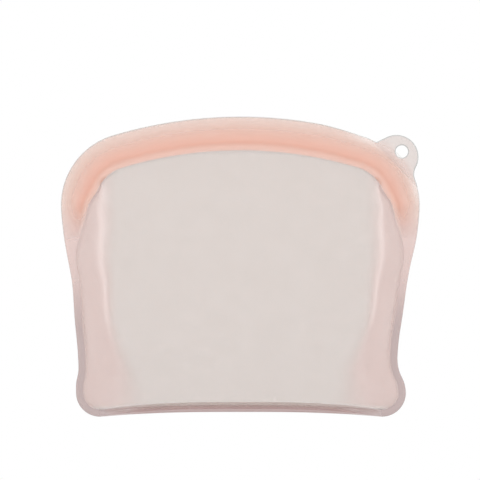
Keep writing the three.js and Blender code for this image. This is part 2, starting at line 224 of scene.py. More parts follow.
OUTLINE = right_half_outline()
LENGTHS = np.concatenate(([0.0], np.cumsum(np.linalg.norm(np.diff(OUTLINE, axis=0), axis=1))))
TANGENTS = np.gradient(OUTLINE, LENGTHS, axis=0)
TANGENTS /= np.linalg.norm(TANGENTS, axis=1)[:, None]
SHARES = LENGTHS / LENGTHS[-1]


def strip_width(z):
    return SEAM_WIDTH + sum(amount * smooth(z, low, high) for amount, low, high in BAND_NARROWS_BY)


def sway(z):
    """How far to the right a point sits at this height: the soft sides do not hang quite evenly."""
    eased, *between = SWAY_EASES
    left = SWAY * smooth(z, *SWAY_STARTS_Z) * (1.0 - eased * smooth(z, *between))
    left *= 1.0 - smooth(z, *SWAY_ENDS_Z)
    return LEAN * (1.0 - smooth(z, *LEAN_ENDS_Z)) - left


class Place:
    """A place on the outline: share 0 is the top of the arch, 1 the right foot and -1 the left one."""

    def __init__(self, share):
        side = -1.0 if share < 0 else 1.0
        at = abs(share)
        self.x = side * np.interp(at, SHARES, OUTLINE[:, 0])
        self.z = np.interp(at, SHARES, OUTLINE[:, 1])
        self.inward = (
            side * np.interp(at, SHARES, TANGENTS[:, 1]),
            -np.interp(at, SHARES, TANGENTS[:, 0]),
        )
        self.width = strip_width(self.z)
        self.lip = self.width * LIP_WIDTH / BAND_WIDTH
        self.fullness = smooth(self.z, *SEAL_FADES_Z)
        self.dip = 0.0
        if self.z > SHOULDER[1] and self.x > 0:
            self.dip = LIP_DIP * float(smooth(self.x, *DIP_SETS_IN_X) * smooth(tab_turn(self), *DIP_FADES))

    def inset(self, distance):
        distance = distance + self.dip * (1.0 - distance / self.width)
        return (self.x + distance * self.inward[0], self.z + distance * self.inward[1])


def tab_direction():
    out = np.array(TAB) - np.array(SHOULDER)
    return out / np.linalg.norm(out)


def tab_turn(place):
    """The angle at the shoulder's centre from the hang tab to a place, positive above the tab."""
    out = tab_direction()
    x, z = place.x - SHOULDER[0], place.z - SHOULDER[1]
    return math.atan2(out[0] * z - out[1] * x, out[0] * x + out[1] * z)


def share_at_height(z):
    return np.interp(-z, -OUTLINE[:, 1], SHARES)


def inner_edge(gap):
    """The outline of the cavity, a gap in from the strip, for every point of OUTLINE."""
    inset = strip_width(OUTLINE[:, 1]) + gap
    return OUTLINE + inset[:, None] * np.column_stack((TANGENTS[:, 1], -TANGENTS[:, 0]))


EDGE = inner_edge(GAP)
CORNER_SHARE = share_at_height(SHOULDER[1] + SHOULDER_RADIUS * math.sqrt(0.5))
CORNER_INDEX = int(np.searchsorted(SHARES, CORNER_SHARE))


def edge_point(edge, share):
    across = np.abs(share)
    x = np.interp(across, SHARES, edge[:, 0]) * np.sign(share)
    return x, np.interp(across, SHARES, edge[:, 1])


def edge_share_at_height(edge, z):
    return np.interp(-z, -edge[:, 1], SHARES)


def belly_depth(x, z):
    """How far the outside of a wall stands off the middle plane."""
    across = np.abs(x)
    top = EDGE[: CORNER_INDEX + 1]
    ceiling = np.interp(across, top[:, 0], top[:, 1])
    rise = np.clip((z - DEEPEST_Z) / (ceiling - DEEPEST_Z), 0.0, 1.0)
    fall = np.clip(z / DEEPEST_Z, 0.0, 1.0)
    upper = BELLY_DEPTH * np.cos(rise * math.pi / 2)
    lower = lerp(BASE_DEPTH, BELLY_DEPTH, np.sin(fall * math.pi / 2))
    depth = np.where(z > DEEPEST_Z, upper, lower)
    side_x = np.interp(edge_share_at_height(EDGE, np.minimum(z, TALLEST_SIDE_Z)), SHARES, EDGE[:, 0])
    fold_x = SIDE_FOLD_X + FOLD_SHIFT * np.sign(x)
    side_start = (fold_x - SIDE_FOLD_SHARE * side_x) / (1.0 - SIDE_FOLD_SHARE)
    bend_start = lerp(BASE_BEND_START, side_start, smooth(z, 0.0, BASE_BEND_FADES_Z))
    bend = np.clip((across - bend_start) / (side_x - bend_start), 0.0, 1.0)
    camber = 1.0 - FACE_CAMBER * (across / SIDE_FOLD_X) ** 2
    return ROOT_DEPTH + depth * camber * (1.0 - bend**SIDE_BEND_POWER)


def arch_share(x):
    return 1.0 - np.minimum(np.abs(x) / FOOT_X, 1.0) ** 3


def bead_underside(x):
    return BASE_ARCH * arch_share(x)


def bead_top(x):
    return BEAD_HEIGHT + BEAD_ARCH * arch_share(x)


# --------------------------------------------------------------------------------------------- meshes

INNER_SKIN = 0.25  # how much of the outside's gloss the hidden inner faces keep
JOINT_INSET = 0.03  # share of the way to its middle that a hidden joint face is drawn in


def link(thing):
    bpy.context.scene.collection.objects.link(thing)
    return thing


def make_object(name, points, faces, attributes=None, sharp=None):
    """A mesh object from points in millimetres. attributes are named values, one for each point."""
    points = np.array(points, float)
    points[:, 0] += sway(points[:, 2])
    mesh = bpy.data.meshes.new(name)
    mesh.from_pydata((points * MM).tolist(), [], faces)
    mesh.update()
    everywhere = {"skin": np.ones(len(points)), "shown": np.ones(len(points))}
    for key, values in (everywhere | (attributes or {})).items():
        stored = mesh.attributes.new(key, "FLOAT", "POINT")
        stored.data.foreach_set("value", np.asarray(values, np.float32).ravel())
    mesh.shade_smooth()
    if sharp is not None:
        mesh.set_sharp_from_angle(angle=math.radians(sharp))
    turn_outward(mesh)
    return link(bpy.data.objects.new(name, mesh))


def turn_outward(mesh):
    """Flips a closed mesh whose faces point in."""
    mesh.calc_loop_triangles()
    places = np.empty(len(mesh.vertices) * 3)
    mesh.vertices.foreach_get("co", places)
    places = places.reshape(-1, 3)
    corners = np.empty(len(mesh.loop_triangles) * 3, int)
    mesh.loop_triangles.foreach_get("vertices", corners)
    a, b, c = (places[corners.reshape(-1, 3)[:, index]] for index in range(3))
    volume = np.einsum("ij,ij->i", a, np.cross(b, c)).sum()
    if volume < 0:
        mesh.flip_normals()


def bare_cap(points, faces, attributes, ring):
    """Closes a ring where two pieces are fused: nothing shows of the joint inside the silicone."""
    first = len(points)
    middle = np.mean([points[index] for index in ring], axis=0)
    points.extend(lerp(np.asarray(points[index], float), middle, JOINT_INSET) for index in ring)
    for key, values in attributes.items():
        values.extend(0.0 if key == "shown" else values[index] for index in ring)
    count = len(ring)
    for index in range(count):
        after = (index + 1) % count
        faces.append((ring[index], ring[after], first + after, first + index))
    faces.append(tuple(range(first, first + count)))


def loft_faces(ring_count, ring_size, capped):
    """Quads between closed rings, and one face over each end where they are capped."""
    faces = []
    for ring in range(ring_count - 1):
        for point in range(ring_size):
            a = ring * ring_size + point
            b = ring * ring_size + (point + 1) % ring_size
            faces.append((a, b, b + ring_size, a + ring_size))
    if capped:
        faces.append(tuple(range(ring_size))[::-1])
        faces.append(tuple(range((ring_count - 1) * ring_size, ring_count * ring_size)))
    return faces


def loft(name, rings, attributes=None, sharp=50, fused=False):
    """fused is whether the ends run on into other pieces."""
    rings = np.asarray(rings, float)
    ring_count, ring_size = rings.shape[:2]
    flat = {key: np.asarray(values, float).reshape(-1).tolist() for key, values in (attributes or {}).items()}
    points = list(rings.reshape(-1, 3))
    faces = loft_faces(ring_count, ring_size, not fused)
    if fused:
        flat.setdefault("shown", [1.0] * len(points))
        bare_cap(points, faces, flat, list(range(ring_size))[::-1])
        bare_cap(points, faces, flat, list(range((ring_count - 1) * ring_size, ring_count * ring_size)))
    return make_object(name, points, faces, flat, sharp)


def smooth_curve(points, count):
    """A curve through the points, as count points spread evenly between each pair."""
    points = np.asarray(points, float)
    before = np.vstack((2 * points[0] - points[1], points[:-1]))
    after = np.vstack((points[1:], 2 * points[-1] - points[-2]))
    slopes = (after - before) / 2
    made = []
    for index in range(len(points) - 1):
        for step in range(count):
            t = step / count
            made.append(
                (2 * t**3 - 3 * t**2 + 1) * points[index]
                + (t**3 - 2 * t**2 + t) * slopes[index]
                + (3 * t**2 - 2 * t**3) * points[index + 1]
                + (t**3 - t**2) * slopes[index + 1]
            )
    return np.array(made + [points[-1]])


# ---------------------------------------------------------------------------------------------- walls

WALL_COLUMNS = 110
LOWER_ROWS = 54
UPPER_ROWS = 22
LOWER_ROW_POWER = 1.45
WALL_EDGE_GAP = 0.05
SMOOTHING_ROUNDS = 40
# Shares of a point itself, of each one beside it, and of each one above and below it, in every round
RELAX_SELF, RELAX_BESIDE, RELAX_ABOVE = 0.5, 0.05, 0.2
SIDEWAYS = (0.12, 0.5)  # sideways part of the wall's normal, between which values its tone changes
CREASE = (0.2, 1.5)  # distances from the strip between which the crease fades
CREASE_ENDS_SHARE = 0.97  # and where it ends along the outline
UNEVENNESS = 0.22  # how far the soft wall strays from its even form
UNEVEN_SCALE = 34.0
UNEVEN_APART = 7.0  # each wall reads the noise this far to its own side
UNEVEN_FADES = (8.0, 14.0)  # how many rows and columns the wander takes to grow from the border


def wall_places():
    """Rows of places seen from the front, each running from the left edge to the right one."""
    edge = inner_edge(WALL_EDGE_GAP)
    across = spread(WALL_COLUMNS)
    low = BEAD_HEIGHT + WALL_EDGE_GAP
    rows = []
    for row in range(LOWER_ROWS):
        share = (row / LOWER_ROWS) ** LOWER_ROW_POWER
        z = lerp(low, FOLD_Z, share)
        x = edge_point(edge, edge_share_at_height(edge, z))[0] * across
        rows.append(np.column_stack((x, z + (1.0 - share) * (bead_top(x) - BEAD_HEIGHT))))
    fold_share = edge_share_at_height(edge, FOLD_Z)
    fold_half = edge_point(edge, fold_share)[0]
    corner_x, corner_z = edge_point(edge, CORNER_SHARE)
    top_x, top_z = edge_point(edge, across * CORNER_SHARE)
    for row in range(UPPER_ROWS + 1):
        up = row / UPPER_ROWS
        side_x, side_z = edge_point(edge, lerp(fold_share, CORNER_SHARE, up))
        x = lerp(across * fold_half, top_x, up) + across * (side_x - lerp(fold_half, corner_x, up))
        z = lerp(FOLD_Z, top_z, up) + side_z - lerp(FOLD_Z, corner_z, up)
        rows.append(np.column_stack((x, z)))
    return np.array(rows)


def relaxed(values):
    """Evens out a grid without moving its border."""
    for _ in range(SMOOTHING_ROUNDS):
        inner = values[1:-1, 1:-1]
        beside = values[1:-1, :-2] + values[1:-1, 2:]
        above_and_below = values[:-2, 1:-1] + values[2:, 1:-1]
        values = values.copy()
        values[1:-1, 1:-1] = RELAX_SELF * inner + RELAX_BESIDE * beside + RELAX_ABOVE * above_and_below
    return values


def unevenness(places, face):
    """A slow wander of the soft wall, 0 along its border."""
    wander = np.array([
        [noise.noise(Vector((x / UNEVEN_SCALE, face * UNEVEN_APART, z / UNEVEN_SCALE))) for x, z in row]
        for row in places
    ])
    fades = []
    for count, reach in zip(wander.shape, UNEVEN_FADES):
        steps = np.arange(count)
        fades.append(np.clip(np.minimum(steps, count - 1 - steps) / reach, 0.0, 1.0))
    return UNEVENNESS * wander * fades[0][:, None] * fades[1][None, :]


def crease(places):
    """1 where the wall meets the strip, 0 further in."""
    edge = inner_edge(0.0)
    nearest = np.full(places.shape[:2], np.inf)
    for side in (LEFT, RIGHT):
        for x, z in edge[: np.searchsorted(SHARES, CREASE_ENDS_SHARE)]:
            nearest = np.minimum(nearest, np.hypot(places[..., 0] - side * x, places[..., 1] - z))
    return 1.0 - smooth(nearest, *CREASE)


def two_skin_faces(rows, columns):
    """Quads over a grid, over its copy behind it, and round the border between the two."""
    count = rows * columns
    index = np.arange(count).reshape(rows, columns)
    faces = []
    for row in range(rows - 1):
        for column in range(columns - 1):
            a, b = index[row, column], index[row, column + 1]
            c, d = index[row + 1, column + 1], index[row + 1, column]
            faces.append((a, b, c, d))
            faces.append((a + count, d + count, c + count, b + count))
    border = np.concatenate((index[0, :-1], index[:-1, -1], index[-1, :0:-1], index[:0:-1, 0]))
    for a, b in zip(border, np.roll(border, -1)):
        faces.append((b, a, a + count, b + count))
    return [tuple(map(int, corners)) for corners in faces]


def make_wall(name, face):
    places = wall_places()
    depth = relaxed(belly_depth(places[..., 0], places[..., 1])) + unevenness(places, face)
    outer = np.dstack((places[..., 0], face * depth, places[..., 1]))
    normals = np.cross(np.gradient(outer, axis=1), np.gradient(outer, axis=0))
    normals /= np.maximum(np.linalg.norm(normals, axis=2), TINY)[..., None]
    normals *= face * np.sign(normals[..., 1:2])
    inner = outer - WALL * normals
    inner[..., 1] = face * np.maximum(face * inner[..., 1], GAP)
    # Along the border the inner skin lies straight behind the outer one
    for edge in ((0, slice(None)), (-1, slice(None)), (slice(None), 0), (slice(None), -1)):
        inner[edge][..., 0] = outer[edge][..., 0]
        inner[edge][..., 2] = outer[edge][..., 2]
    sideways = smooth(np.abs(normals[..., 0]), *SIDEWAYS).ravel()
    creased = crease(places).ravel()
    attributes = {
        "sideways": np.concatenate((sideways, sideways)),
        "crease": np.concatenate((creased, creased)),
        "skin": np.concatenate((np.ones(depth.size), np.full(depth.size, INNER_SKIN))),
    }
    points = np.vstack((outer.reshape(-1, 3), inner.reshape(-1, 3)))
    return make_object(name, points, two_skin_faces(*depth.shape), attributes, sharp=60)


# ------------------------------------------------------------------------------- sealing rims and flanges

RIM_STATIONS = 260
FLANGE_STATIONS = 150
CURVE_STEPS = 4
EDGE_ROUND = 0.9  # how far in the lip's edge is rounded
EDGE_SECTION = ((0.0, 0.3), (0.13, 0.66), (0.42, 0.9), (1.0, 1.0))  # shares of that and of the half thickness
EDGE_THINNER = 0.1  # the least that an edge is thinner than its root
CUT_EDGE = (0.0, 0.1, 0.2, 0.3)  # insets of the first points where the lip is cut straight for the hang tab
FLAT_SHARES = (1.0, 0.6, 0.25, 0.02, 0.0)  # places on a lip's flat inside, from its root to its edge
GROOVE_POINTS = 13
RIB_TIP = 0.05  # how large the seal bead's very end is, squared
RIB_TAPER = 2.0  # and how long it takes to reach its full size
FLANGE_GAP = 0.02  # from the rims' ends to the flanges
ON_SHOULDER = 0.3  # how near the outline is to the shoulder's arc where it is taken to lie on it
TAB_TURN_MOST = math.pi / 3
PAD_HALF = 1.8
PAD_FADE = math.radians(20)
TINT_FADES_Z = (108.0, 138.0)
# painted shade: between these heights the seam grows darker and denser towards the bottom
SEAM_DARKENS_Z = (52.0, 100.0)
FEATHER = (1.0, 6.0)  # insets between which the rear lip gets less clear behind the hang tab
FEATHER_SHARE = 0.75  # how clear it is at its edge


def strip_section(place, start=0.0, pad=0.0):
    """Insets and half thicknesses along the outside of a half shell's strip, from its outer edge inwards.

    start is where the edge is cut straight for the hang tab, and pad is how much of its extra thickness the
    lip has there."""
    root = lerp(SEAM_HALF, LIP_ROOT_HALF, smooth(place.z, *SEAM_THICKENS_Z))
    lip = place.lip
    edge = min(lerp(LIP_EDGE_HALF, PAD_HALF, pad), root - EDGE_THINNER)
    if start > 0.0:
        first = [(inset, lerp(edge, root, inset / lip)) for inset in start + np.array(CUT_EDGE)]
    else:
        first = [(EDGE_ROUND * inset, half * edge) for inset, half in EDGE_SECTION]
    lip_middle = lerp(first[-1][0], lip, 0.5)
    middle = [(lip_middle, lerp(edge, root, lip_middle / lip)), (lip, root)]
    jaw = [(share * place.width, lerp(root, half * JAW_HALF, place.fullness)) for share, half in JAW_SECTION]
    return smooth_curve(first + middle + jaw, CURVE_STEPS)


def tab_pad(place):
    """1 on the lips at the hang tab's root, 0 away from it."""
    root = math.acos(TAB_ROOT / SHOULDER_RADIUS)
    return 1.0 - float(smooth(abs(tab_turn(place)), root, root + PAD_FADE))


def groove(place, radius):
    """Half a round in the rims' flat inside, smaller towards the ends of the seal."""
    size = radius * lerp(RIB_SHRINKS_TO, 1.0, place.fullness)
    angles = np.linspace(0.0, math.pi, GROOVE_POINTS)
    return np.column_stack((
        RIB_PLACE * place.width + size * np.cos(angles), SEAL_PLANE_GAP + size * np.sin(angles)
    ))


def tab_inset(place):
    """Inset of the straight line where the hang tab leaves the front lip."""
    turn = tab_turn(place)
    off_arc = abs(math.dist((place.x, place.z), SHOULDER) - SHOULDER_RADIUS)
    if off_arc > ON_SHOULDER or abs(turn) > TAB_TURN_MOST:
        return 0.0
    cut = SHOULDER_RADIUS - TAB_ROOT / math.cos(turn)
    return max(0.0, (cut - place.dip) / (1.0 - place.dip / place.width))


def strip_ring(place, section):
    """A cross-section as points: section lists insets and depths along Y."""
    ring = []
    for distance, y in section:
        x, z = place.inset(distance)
        ring.append((x, y, z))
    return ring


class Sections:
    """Cross-sections along the strip, with what its material needs at each point."""

    def __init__(self):
        self.rings, self.attributes = [], {}

    def add(self, place, section, outside_count, feather=0.0):
        """outside_count is how many points of the section, from its first on, lie on the bag's outside.

        feather is how far the lip clears towards its edge."""
        count = len(section)
        shown = [1.0 - feather * (1.0 - float(smooth(inset, *FEATHER))) for inset, _ in section]
        if section[0][0] > 0.0:
            shown[0] = shown[-1] = 0.0
        row = {
            "across": [min(inset / place.width, 1.0) for inset, _ in section],
            "strength": [float(smooth(place.z, *TINT_FADES_Z))] * count,
            # painted shade: 1 low on the seam, where it is darkened
            "low": [1.0 - float(smooth(place.z, *SEAM_DARKENS_Z))] * count,
            "skin": [1.0] * outside_count + [INNER_SKIN] * (count - outside_count),
            "shown": shown,
        }
        for key, values in row.items():
            self.attributes.setdefault(key, []).append(values)
        self.rings.append(strip_ring(place, section))

    def build(self, name):
        return loft(name, self.rings, self.attributes, fused=True)


def make_rim(name, face):
    """A sealing rim: the thin lip outside and the thick jaw inside, moulded as one."""
    end = share_at_height(RIM_END_Z)
    sections = Sections()
    for share in np.linspace(-end, end, RIM_STATIONS + 1):
        place = Place(share)
        if face == FRONT:
            start, pad, feather = tab_inset(place), tab_pad(place), 0.0
            seal = groove(place, GROOVE_RADIUS)
        else:
            start, pad, feather = 0.0, 0.0, FEATHER_SHARE * tab_pad(place)
            steps = np.linspace(1.0, -1.0, GROOVE_POINTS)
            seal = [(RIB_PLACE * place.width + step, SEAL_PLANE_GAP) for step in steps]
        outside = strip_section(place, start, pad)
        flat = [(lerp(start, place.lip, along), SEAL_PLANE_GAP) for along in FLAT_SHARES]
        inside = [(place.width, SEAL_PLANE_GAP), *seal, *flat]
        section = [(inset, face * y) for inset, y in [*outside, *inside]]
        sections.add(place, section, len(outside), feather)
    return sections.build(name)


def make_rib(name):
    """The bead on the rear jaw that presses into the front jaw's groove."""
    end = share_at_height(RIB_END_Z)
    sections = Sections()
    for share in np.linspace(-end, end, RIM_STATIONS + 1):
        place = Place(share)
        size = min(1.0, RIB_TIP + (end - abs(share)) * LENGTHS[-1] / RIB_TAPER) ** 0.5
        section = groove(place, RIB_RADIUS)
        middle = np.array((RIB_PLACE * place.width, SEAL_PLANE_GAP))
        sections.add(place, [(inset, -y) for inset, y in middle + (section - middle) * size], 0)
    return sections.build(name)


def make_flange(name, side):
    """A side seam, from the end of the seal down round the corner to the foot."""
    sections = Sections()
    for share in np.linspace(share_at_height(RIM_END_Z - FLANGE_GAP), 1.0, FLANGE_STATIONS + 1):
        place = Place(side * share)
        outside = strip_section(place)
        section = [(inset, -y) for inset, y in outside] + [(inset, y) for inset, y in outside[::-1]]
        sections.add(place, section, len(section))
    return sections.build(name)


# ---------------------------------------------------------------------------------------------- base

BEAD_COLUMNS = 150
BEAD_TAPER = 9.0  # how far from its ends the bead gets thinner
BEAD_TURN = 3.0  # how far from its ends its section has turned square to its own curve
BEAD_CLEARS = 30.0  # how far from its ends it gets clearer
FOOT_SHADOW_SHARES = (0.75, 0.2)  # shares of the bead's height between which it gets denser and darker downwards: a painted contact shadow
SLOPE_STEP = 0.05  # over which the bead's slope is measured
LEAST_STEP = 0.001  # and the least that is left of it at the ends
# Round the bead: shares of its thickness from its outer face, and of its height
BEAD_SECTION = (
    (0.35, 0.0), (0.1, 0.04), (0.0, 0.16), (0.0, 0.5), (0.0, 0.8), (0.1, 0.93), (0.34, 1.0),
    (0.8, 1.0), (1.0, 0.93), (1.0, 0.5), (1.0, 0.08), (0.9, 0.0),
)
PANEL_COLUMNS = 90
PANEL_ROWS = 14
PANEL_SHORTER = 3.0  # than the beads, at each end
PANEL_GAP = 0.05  # to the beads
PANEL_LEAST_HALF = 0.25
PANEL_DOME_X = 20.0  # how far to each side of the middle the dome keeps its full height


def bead_outside(x):
    """Depth of the bead's outer face, which runs into the flange at both ends."""
    across = np.abs(x)
    free = belly_depth(across, np.full_like(np.asarray(across, float), BEAD_HEIGHT + GAP))
    ends = smooth(across, FOOT_X - BEAD_TAPER, FOOT_X)
    return free + lerp(BEAD_PROUD, SEAM_HALF - ROOT_DEPTH, ends)


def bead_slope(x):
    """How much deeper the bead's outer face gets for each millimetre along X."""
    step = min(SLOPE_STEP, max(FOOT_X - abs(x), LEAST_STEP))
    return float(bead_outside(x + step) - bead_outside(x - step)) / (2 * step)


def make_base_bead(name, face):
    """The bead under a half shell, with its section square to the curve it follows."""
    rings, ends, foot = [], [], []
    for x in FOOT_X * spread(BEAD_COLUMNS):
        slope = bead_slope(x)
        turn = float(smooth(FOOT_X - abs(x), 0.0, BEAD_TURN))
        length = math.hypot(1.0, slope)
        outside = float(bead_outside(x))
        thickness = lerp(BEAD_THICKNESS, SEAM_HALF, float(smooth(abs(x), FOOT_X - BEAD_TAPER, FOOT_X)))
        low, top = float(bead_underside(x)), float(bead_top(x))
        ring = []
        for inwards, rise in BEAD_SECTION:
            inwards *= thickness
            ring.append((
                x + turn * inwards * slope / length,
                face * (outside - lerp(inwards, inwards / length, turn)),
                lerp(low, top, rise),
            ))
        rings.append(ring)
        end = float(smooth(abs(x), FOOT_X - BEAD_CLEARS, FOOT_X))
        ends.append([end] * len(ring))
        # painted contact shadow: denser low on the bead, fading out towards its ends
        foot.append([(1.0 - end) * float(smooth(rise, *FOOT_SHADOW_SHARES)) for _, rise in BEAD_SECTION])
    return loft(name, rings, {"ends": ends, "foot": foot}, sharp=55, fused=True)


def make_base_panel(name):
    """The gusset between the two beads, closed at its rim."""
    rings = []
    for x in (FOOT_X - PANEL_SHORTER) * spread(PANEL_COLUMNS):
        half = max(float(bead_outside(x)) - BEAD_THICKNESS - PANEL_GAP, PANEL_LEAST_HALF)
        low = float(bead_underside(x)) + PANEL_RISE
        across = spread(PANEL_ROWS)
        dome = PANEL_DOME * float(smooth(-abs(x), -FOOT_X, -PANEL_DOME_X)) * (1.0 - across**2)
        under = [(x, half * y, low + rise) for y, rise in zip(across, dome)]
        over = [(x, half * y, low + rise + WALL) for y, rise in zip(across[::-1], dome[::-1])]
        rings.append(under + over)
    return loft(name, rings, {"skin": np.full(np.shape(rings)[:2], INNER_SKIN)}, sharp=55)


# ------------------------------------------------------------------------------------------- hang tab

TAB_ROUNDING = 5  # steps round the edge of each face
TAB_FINE = 420  # points along the outline while it is softened
TAB_SOFTENING = 7  # how many of them each one is averaged over
TAB_POINTS = 110
HOLE_POINTS = 40
PAST_ROOT = math.radians(36)  # how far the outline follows the shoulder past the root, before it is cut
TAB_GRID = 1.1  # spacing of the points inside each face
GRID_CLEARANCE = 0.6 * TAB_GRID  # and how far they keep off its borders
MERGE_DISTANCE = 1e-7
TAB_GREYS = (43.0, 48.5)  # distances from the shoulder's centre between which the tab turns grey


def tab_outline():
    """The outline round the tab's tip, from below its root to above it. +X points out of the shoulder."""
    reach = math.dist(TAB, SHOULDER)
    far = SHOULDER_RADIUS + TAB_FILLET
    near = TAB_RADIUS + TAB_FILLET
    fillet_x = (reach**2 + far**2 - near**2) / (2 * reach)
    fillet_y = -math.sqrt(far**2 - fillet_x**2)
    on_shoulder = math.atan2(fillet_y, fillet_x)
    on_tab = math.atan2(fillet_y, fillet_x - reach)
    radius, turn = TAB_NOTCH
    notch_x, notch_y = radius * math.cos(turn), radius * math.sin(turn)
    notch_turn = math.atan2(notch_y, notch_x - reach)
    flank = notch_turn - math.acos(TAB_RADIUS / math.hypot(notch_y, notch_x - reach))
    line = np.vstack((
        arc((0.0, 0.0), SHOULDER_RADIUS, -PAST_ROOT, on_shoulder),
        arc((fillet_x, fillet_y), TAB_FILLET, on_shoulder + math.pi, on_tab + math.pi)[1:],
        arc((reach, 0.0), TAB_RADIUS, on_tab, flank)[1:],
        arc((0.0, 0.0), radius, turn, PAST_ROOT),
    ))
    line = evenly(line, TAB_FINE)
    weights = np.ones(TAB_SOFTENING) / TAB_SOFTENING
    soft = np.column_stack([np.convolve(line[:, axis], weights, "valid") for axis in range(2)])
    ends = TAB_SOFTENING // 2
    return np.vstack((line[:ends], soft, line[-ends:]))


def evenly(line, count):
    """A line as count points at even distances."""
    lengths = np.concatenate(([0.0], np.cumsum(np.linalg.norm(np.diff(line, axis=0), axis=1))))
    at = np.linspace(0.0, lengths[-1], count)
    return np.column_stack([np.interp(at, lengths, line[:, axis]) for axis in range(2)])


def tab_contour(offset):
    """The tab's outline, offset inwards, from the lower end of its root line to the upper one."""
    line = tab_outline()
    along = np.gradient(line, axis=0)
    along /= np.linalg.norm(along, axis=1)[:, None]
    line = line + offset * np.column_stack((-along[:, 1], along[:, 0]))
    kept = np.nonzero(line[:, 0] > TAB_ROOT)[0]
    ends = []
    for inside, outside in ((kept[0], kept[0] - 1), (kept[-1], kept[-1] + 1)):
        share = (TAB_ROOT - line[outside, 0]) / (line[inside, 0] - line[outside, 0])
        ends.append(lerp(line[outside], line[inside], share))
    return evenly(np.vstack((ends[0], line[kept[0] : kept[-1] + 1], ends[1])), TAB_POINTS)


def inside_polygon(polygon, points):
    """Which points lie inside a polygon."""
    inside = np.zeros(len(points), bool)
    for (ax, ay), (bx, by) in zip(polygon, np.roll(polygon, -1, axis=0)):
        crosses = (ay > points[:, 1]) != (by > points[:, 1])
        at = ax + (points[:, 1] - ay) / (by - ay if by != ay else TINY) * (bx - ax)
        inside ^= crosses & (points[:, 0] < at)
    return inside


def flat_faces(contour, hole):
    """Points and triangles that fill a contour around a hole. The points of these two come first."""
    low, high = contour.min(axis=0), contour.max(axis=0)
    steps = [np.arange(low[axis] + TAB_GRID, high[axis], TAB_GRID) for axis in range(2)]
    grid = np.array([(x, y) for x in steps[0] for y in steps[1]])
    rims = np.vstack((contour, hole))
    clear = np.array([np.min(np.linalg.norm(rims - point, axis=1)) > GRID_CLEARANCE for point in grid])
    centre = hole.mean(axis=0)
    hole_radius = np.linalg.norm(hole[0] - centre)
    clear &= np.linalg.norm(grid - centre, axis=1) > hole_radius + GRID_CLEARANCE
    clear &= grid[:, 0] > low[0] + GRID_CLEARANCE
    grid = grid[clear & inside_polygon(contour, grid)]
    points = np.vstack((rims, grid))
    count = len(contour)
    edges = [(index, (index + 1) % count) for index in range(count)]
    edges += [(count + index, count + (index + 1) % len(hole)) for index in range(len(hole))]
    found = delaunay_2d_cdt([Vector(point) for point in points], edges, [], 0, MERGE_DISTANCE)
    original = [ids[0] for ids in found[3]]
    faces = []
    for face in found[2]:
        ids = [original[index] for index in face]
        middle = points[ids].mean(axis=0)[None, :]
        if inside_polygon(contour, middle)[0] and not inside_polygon(hole, middle)[0]:
            faces.append(tuple(ids))
    return points, faces


def make_tab(name):
    """A flat tab with rounded edges and a round hole, flush with the front lip at its root."""
    out = tab_direction()
    side = np.array((-out[1], out[0]))
    hole_from_shoulder = np.array(HOLE) - np.array(SHOULDER)
    hole_centre = (float(hole_from_shoulder @ out), float(hole_from_shoulder @ side))
    angles = np.linspace(0.0, math.pi / 2, TAB_ROUNDING + 1)
    levels = [(TAB_HALF * (1.0 - math.cos(angle)), TAB_HALF * math.sin(angle)) for angle in angles]
    levels = [(offset, -rise) for offset, rise in levels[::-1]] + levels[1:]
    contours = [tab_contour(offset) for offset, _ in levels]
    holes = [
        arc(hole_centre, HOLE_RADIUS + offset, 0.0, 2 * math.pi, HOLE_POINTS + 1)[:-1] for offset, _ in levels
    ]
    flat, triangles = flat_faces(contours[0], holes[0])
    points, faces, reach, rounded, shown = [], [], [], [], []

    def add(places, rise, on_face):
        first = len(points)
        for along, across in places:
            x, z = np.array(SHOULDER) + along * out + across * side
            points.append((x, TAB_Y + rise, z))
            reach.append(float(smooth(math.hypot(along, across), *TAB_GREYS)))
            rounded.append(0.0 if on_face else 1.0)
            shown.append(1.0)
        return first

    rim_count, hole_count = len(contours[0]), len(holes[0])
    starts = []
    for index, (_, rise) in enumerate(levels):
        on_face = index in (0, len(levels) - 1)
        places = flat if on_face else np.vstack((contours[index], holes[index]))
        starts.append(add(places, rise, on_face))
    for start, turned in ((starts[0], False), (starts[-1], True)):
        for a, b, c in triangles:
            faces.append((start + a, start + c, start + b) if turned else (start + a, start + b, start + c))
    for low, high in zip(starts, starts[1:]):
        for index in range(rim_count - 1):
            faces.append((low + index, low + index + 1, high + index + 1, high + index))
        for index in range(hole_count):
            after = (index + 1) % hole_count
            a, b = rim_count + index, rim_count + after
            faces.append((low + b, low + a, high + a, high + b))
    attributes = {"reach": reach, "rounded": rounded, "shown": shown}
    bare_cap(points, faces, attributes, [start + rim_count - 1 for start in starts] + starts[::-1])
    return make_object(name, points, faces, attributes, sharp=55)


# ------------------------------------------------------------------------------------------ materials

WHITE = (1.0, 1.0, 1.0)
GREY_PINK = (0.45, 0.345, 0.29)
SIDE_PINK = (0.55, 0.365, 0.32)
SEAM_PINK = (0.60, 0.37, 0.32)
# Painted shade: the darker seam tone low on the bag, also the base beads' colour
SEAM_SHADE = (0.41, 0.275, 0.26)
CREAM = (0.66, 0.455, 0.37)
PEACH = (0.76, 0.47, 0.382)
ROOT_CREAM = (0.60, 0.43, 0.375)
# Painted reflection: a dark grey line along thin edges, where a silicone edge shows darker surroundings
EDGE_SHADE_GREY = (0.43, 0.43, 0.42)
PALE_GREY = (0.645, 0.58, 0.555)
# Painted light: a paler peach that lightens the rim's downward-facing inner slope
SLOPE_LIGHT_PEACH = (0.86, 0.585, 0.485)

